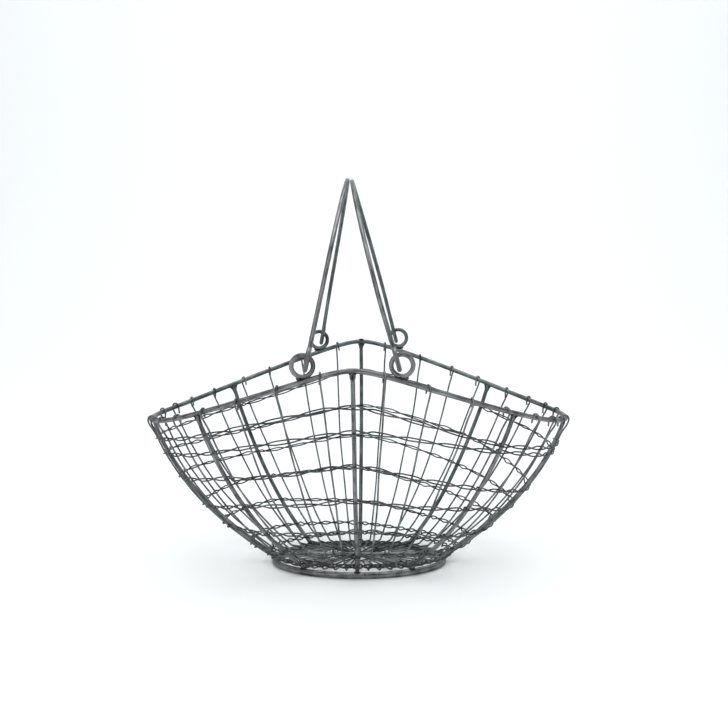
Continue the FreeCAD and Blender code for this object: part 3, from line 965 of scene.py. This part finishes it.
def make_foot():
    shape = Shape()
    points = []
    for i in range(FOOT_POINTS):
        angle = 2 * math.pi * (i + 0.5) / FOOT_POINTS
        points.append(foot_at(angle, FOOT_WIRE / 2 - FOOT_FLAT))
    tube(shape, points, FOOT_WIRE, 32, closed=True, longest=1.8, seed=9, lumpy=0.014, flat_below=0.0)
    for step in range(0, ALL_STEPS, RIB_EVERY):
        edge = base_point(step)
        along = (base_point(step + STEP_NUDGE) - base_point(step - STEP_NUDGE)).normalized()
        out = Vector((edge.x, edge.y, 0)).normalized()
        for i, slide in enumerate(FOOT_BEAD_SLIDES):
            spot = edge + along * slide + out * 0.3 - UP * FOOT_BEAD_DROP
            bead(shape, spot, FOOT_BEAD_SIZE, along=along, seed=step * 5 + i)
    # the butt weld of the ring itself, just right of the front middle
    joint = foot_at(FOOT_JOINT_ANGLE, 3.0) + Vector((0, -0.25, 0.35))
    bead(shape, joint, FOOT_JOINT_SIZE, along=(1, 0.05, 0), seed=41, rough=0.06)
    make_piece("foot_ring_wire", shape, [foot_iron, weld_iron], "basket", "foot_wire", "foot_ring")


def front_head(shape, top, along, out):
    """A flattened head with a diamond-shaped ridge, pitted and burnt."""
    head = top - UP * HEAD_DROP + out * 0.2
    bead(shape, head, HEAD_SIZE, along=along, seed=7, rough=0.05, slot=0)
    face = head + out * 2.0
    corners = [
        face + UP * RIDGE_TOP,
        face + along * RIDGE_SIDE,
        face - UP * RIDGE_BOTTOM,
        face - along * RIDGE_SIDE,
    ]
    ridge = []
    for here, after in zip(corners, corners[1:] + corners[:1]):
        ridge += [here, here * 0.75 + after * 0.25, here * 0.25 + after * 0.75]
    tube(shape, ridge, RIDGE_WIRE, 8, closed=True, longest=0.5, seed=31, lumpy=0.06, slot=0)
    bead(shape, face - out * 0.1 - UP * 0.1, PIT_SIZE, along=along, seed=8, slot=2)
    for i, (slide, rise) in enumerate(BURNT_SPOTS):
        spot = head + along * slide + UP * rise + out * 0.9
        bead(shape, spot, BURNT_SIZE, along=along, seed=33 + i, slot=2)


def rib_fillets(shape, step, top, along, out):
    """A fillet up to the rim on each side, and burnt hollows between them."""
    chance = random.Random(step + 500)
    low = wall_at(step, 1 - FILLET_LENGTH / (top.z - BASE_Z))
    for sign in (-1, 1):
        reach = chance.uniform(*FILLET_REACH)
        start = low + along * sign * 0.9 + out * 0.4
        middle = (low + top) * 0.5 + along * sign * 1.5 + out * 0.5
        finish = top + along * sign * reach - UP * 1.7 + out * 0.4
        line = [start, middle, finish]
        tube(shape, line, FILLET_WIRE, 10, longest=0.8, seed=step + sign, lumpy=0.12, slot=1)
    for sign in (-1, 1):
        hollow = top - UP * 3.4 + out * sign * 1.35
        bead(shape, hollow, HOLLOW_SIZE, along=along, seed=step + 7, rough=0.2, slot=2)


def rib_top_welds(shape, step):
    along = direction_at(step)
    out = outward_at(step)
    top = rim_point(step)
    if step == 0:
        front_head(shape, top, along, out)
    else:
        rib_fillets(shape, step, top, along, out)


def make_ribs():
    for name, line, steps in (
        ("rib_left_right", through_rib(3 * QUARTER_STEPS, []), (30, 10)),
        ("rib_front_back", rib_front_back_line(), (0, 20)),
        ("rib_front_right", diagonal_rib_line(5), (5,)),
        ("rib_back_right", diagonal_rib_line(15), (15,)),
        ("rib_back_left", diagonal_rib_line(25), (25,)),
        ("rib_front_left", diagonal_rib_line(35), (35,)),
    ):
        shape = Shape()
        tube(shape, line, RIB_WIRE, 18, longest=2.4, seed=steps[0] + 1, lumpy=0.02)
        for step in steps:
            rib_top_welds(shape, step)
        if len(steps) == 1:
            # a small weld where the rib's end meets the crossing in the middle of the base
            inner = line[-1]
            spot = inner * 0.8 + UP * (BASE_Z * 0.2)
            outward = Vector((inner.x, inner.y, 0))
            bead(shape, spot, INNER_BEAD_SIZE, along=outward, seed=steps[0] + 60)
        if name == "rib_front_back":
            for place, size, seed in CENTRE_BEADS:
                bead(shape, place, size, seed=seed)
        make_piece(name + "_wire", shape, [rib_iron, weld_iron, burnt_iron], "basket", "rib_wire", name)


def make_staves():
    octants = ("front_right", "right_front", "right_back", "back_right",
               "back_left", "left_back", "left_front", "front_left")
    for octant, name in enumerate(octants):
        shape = Shape()
        for i in range(1, RIB_EVERY):
            step = octant * RIB_EVERY + i
            tube(shape, stave_line(step), STAVE_WIRE, 12, longest=3.2, seed=step, end="snip", lumpy=0.015)
        make_piece("stave_wires_" + name, shape, [stave_iron], "basket", "stave_wire", "staves_" + name)


def make_woven(name, surface, share_at, uprights, row, material, nodes):
    shape = Shape()
    for parity in (0, 1):
        line = strand_line(surface, share_at, uprights, parity, row)
        tube(shape, line, WEAVE_WIRE, 10, longest=2.8, turn_step=12, seed=row + parity, end="snip",
             lumpy=0.015)
    make_piece(name, shape, [material], "basket", "weave_wire", *nodes)


def make_rows():
    """The wall's spiral is one continuous pair of wires here, in place of the CAD's six turns."""
    turns = len(WALL_TURNS)
    uprights = range(QUARTER_STEPS, QUARTER_STEPS + ALL_STEPS * turns + 1)
    nodes = ["weave_row_%d" % number for number in range(1, turns + 1)]
    make_woven("twined_spiral_wires", wall_at, spiral_height, uprights, 20, weave_iron, nodes)
    once_round = range(ALL_STEPS + 1)
    make_woven("twined_edge_row", wall_at, lambda step: EDGE_ROW, once_round, 40, shaded_base_iron,
               ["weave_row_7"])
    for number, (share, every) in enumerate(BASE_ROWS, turns + 2):
        uprights = range(0, ALL_STEPS + 1, every)
        make_woven("twined_base_row_%d" % (number - turns - 1), base_at, lambda step, s=share: s,
                   uprights, number * 10, shaded_base_iron, ["weave_row_%d" % number])


def make_rings():
    # the control points stand outside the circle by as much as the spline cuts in
    radius = RING_RADIUS / math.cos(math.pi / RING_POINTS) ** 0.5
    for name, rings_x in (("left", LEFT_RINGS_X), ("right", RIGHT_RINGS_X)):
        middle, axis, half = handle_frame(rings_x)
        level = Vector((axis.y, -axis.x, 0)).normalized()
        up = level.cross(axis).normalized()
        for side_name, side in (("front", -1), ("back", 1)):
            centre = middle + axis * half * side
            shape = Shape()
            points = []
            for i in range(RING_POINTS):
                angle = 2 * math.pi * (i + 0.5) / RING_POINTS
                points.append(centre + level * radius * math.sin(angle) - up * radius * math.cos(angle))
            seed = 21 + side * 3 + len(name)
            tube(shape, points, RING_WIRE, 20, closed=True, longest=1.2, seed=seed, lumpy=0.02)
            foot = centre - up * (RING_RADIUS + RING_WIRE / 2)
            for i, (slide, rise, size) in enumerate(RING_BEADS):
                bead(shape, foot + level * slide + up * rise, size, facing=up, along=level,
                     seed=seed + i * 5, rough=0.22, slot=1 if i < 2 else 2)
            make_piece("handle_ring_%s_%s_wire" % (name, side_name), shape,
                       [ring_iron, weld_iron, burnt_iron],
                       "basket", "ring_wire", "handle_ring_%s_%s" % (name, side_name))


def make_handles():
    for name, rings_x, hand, bends in (
        ("left", LEFT_RINGS_X, -1, LEFT_LEG_BENDS),
        ("right", RIGHT_RINGS_X, 1, RIGHT_LEG_BENDS),
    ):
        shape = Shape()
        tube(shape, handle_line(rings_x, hand, bends), HANDLE_WIRE, 20, longest=2.4, turn_step=7,
             seed=80 + hand, lumpy=0.016)
        make_piece("bail_handle_" + name, shape, [handle_iron], "handle_" + name, "handle_wire",
                   "handle_" + name)


make_rim()
make_foot()
make_ribs()
make_staves()
make_rows()
make_rings()
make_handles()


# ======================= floor, light and camera =======================

# the floor runs from its front edge to a bend, and rises behind the basket, in metres
FLOOR_HALF_WIDTH = 6.0
FLOOR_FRONT = -3.0
FLOOR_BACK = 2.2
BACKDROP_HEIGHT = 4.5
BEND_RADIUS = 1.2
BEND_PARTS = 24
PAPER = (0.955, 0.972, 0.98, 1)

SKY = (0.965, 0.992, 1.0, 1)
SKY_STRENGTH = 0.57
# each soft box: its name, where it hangs, where it points, its size, its watts and its colour
SOFT_BOXES = (
    ("top_softbox", (0.1, -0.3, 1.9), (0, 0, 0.1), (1.6, 1.2), 16.5, (1.0, 1.0, 1.0)),
    ("front_softbox", (-1.1, -1.9, 1.3), (0, 0, 0.12), (1.0, 1.0), 8, (1.0, 0.99, 0.99)),
    ("wall_wash", (0, 0.6, 2.4), (0, 2.2, 0.7), (3.0, 0.8), 19, (0.98, 1.0, 1.0)),
)

# where the camera stands in millimetres, and its angles in radians
CAMERA_AT = (27.73, -879.98, 303.04)
CAMERA_PAN = -0.0244
CAMERA_TILT = 0.1195
CAMERA_ROLL = -0.0062
CAMERA_LENS = 45.36
CAMERA_SENSOR = 36.0


def make_backdrop():
    """A white floor that sweeps up into a wall behind the basket."""
    outline = [(FLOOR_FRONT, 0.0)]
    for i in range(BEND_PARTS + 1):
        angle = math.pi / 2 * i / BEND_PARTS
        y = FLOOR_BACK - BEND_RADIUS + BEND_RADIUS * math.sin(angle)
        outline.append((y, BEND_RADIUS - BEND_RADIUS * math.cos(angle)))
    outline.append((FLOOR_BACK, BACKDROP_HEIGHT))
    points = []
    for y, z in outline:
        points.append((-FLOOR_HALF_WIDTH, y, z))
        points.append((FLOOR_HALF_WIDTH, y, z))
    faces = [(2 * i, 2 * i + 1, 2 * i + 3, 2 * i + 2) for i in range(len(outline) - 1)]
    mesh = bpy.data.meshes.new("backdrop")
    mesh.from_pydata(points, [], faces)
    mesh.polygons.foreach_set("use_smooth", [True] * len(faces))
    obj = bpy.data.objects.new("backdrop", mesh)
    bpy.context.scene.collection.objects.link(obj)
    paper = bpy.data.materials.new("backdrop_paper")
    paper.use_nodes = True
    shader = paper.node_tree.nodes["Principled BSDF"]
    shader.inputs["Base Color"].default_value = PAPER
    shader.inputs["Roughness"].default_value = 0.9
    mesh.materials.append(paper)


def area_light(name, at, towards, size, strength, colour):
    light = bpy.data.lights.new(name, "AREA")
    light.shape = "RECTANGLE"
    light.size = size[0]
    light.size_y = size[1]
    light.energy = strength
    light.color = colour
    obj = bpy.data.objects.new(name, light)
    obj.location = at
    obj.rotation_mode = "QUATERNION"
    obj.rotation_quaternion = (Vector(towards) - Vector(at)).to_track_quat("-Z", "Y")
    bpy.context.scene.collection.objects.link(obj)


def make_light():
    world = bpy.data.worlds.new("studio")
    bpy.context.scene.world = world
    world.use_nodes = True
    sky = world.node_tree.nodes["Background"]
    sky.inputs["Color"].default_value = SKY
    sky.inputs["Strength"].default_value = SKY_STRENGTH
    for soft_box in SOFT_BOXES:
        area_light(*soft_box)


def make_camera():
    at = Vector(CAMERA_AT) * MM
    level = Vector((math.cos(CAMERA_PAN), -math.sin(CAMERA_PAN), 0))
    ahead = Vector((math.sin(CAMERA_PAN), math.cos(CAMERA_PAN), 0))
    forward = ahead * math.cos(CAMERA_TILT) - UP * math.sin(CAMERA_TILT)
    above = level.cross(forward)
    right = level * math.cos(CAMERA_ROLL) + above * math.sin(CAMERA_ROLL)
    up = above * math.cos(CAMERA_ROLL) - level * math.sin(CAMERA_ROLL)
    lens = bpy.data.cameras.new("camera")
    lens.sensor_width = CAMERA_SENSOR
    lens.lens = CAMERA_LENS
    lens.clip_start = 0.02
    lens.clip_end = 50.0
    obj = bpy.data.objects.new("camera", lens)
    turned = Matrix((right, up, -forward)).transposed()
    obj.matrix_world = Matrix.Translation(at) @ turned.to_4x4()
    bpy.context.scene.collection.objects.link(obj)
    bpy.context.scene.camera = obj


make_backdrop()
make_light()
make_camera()
bpy.context.scene.view_settings.view_transform = "Standard"

bpy.context.view_layer.update()
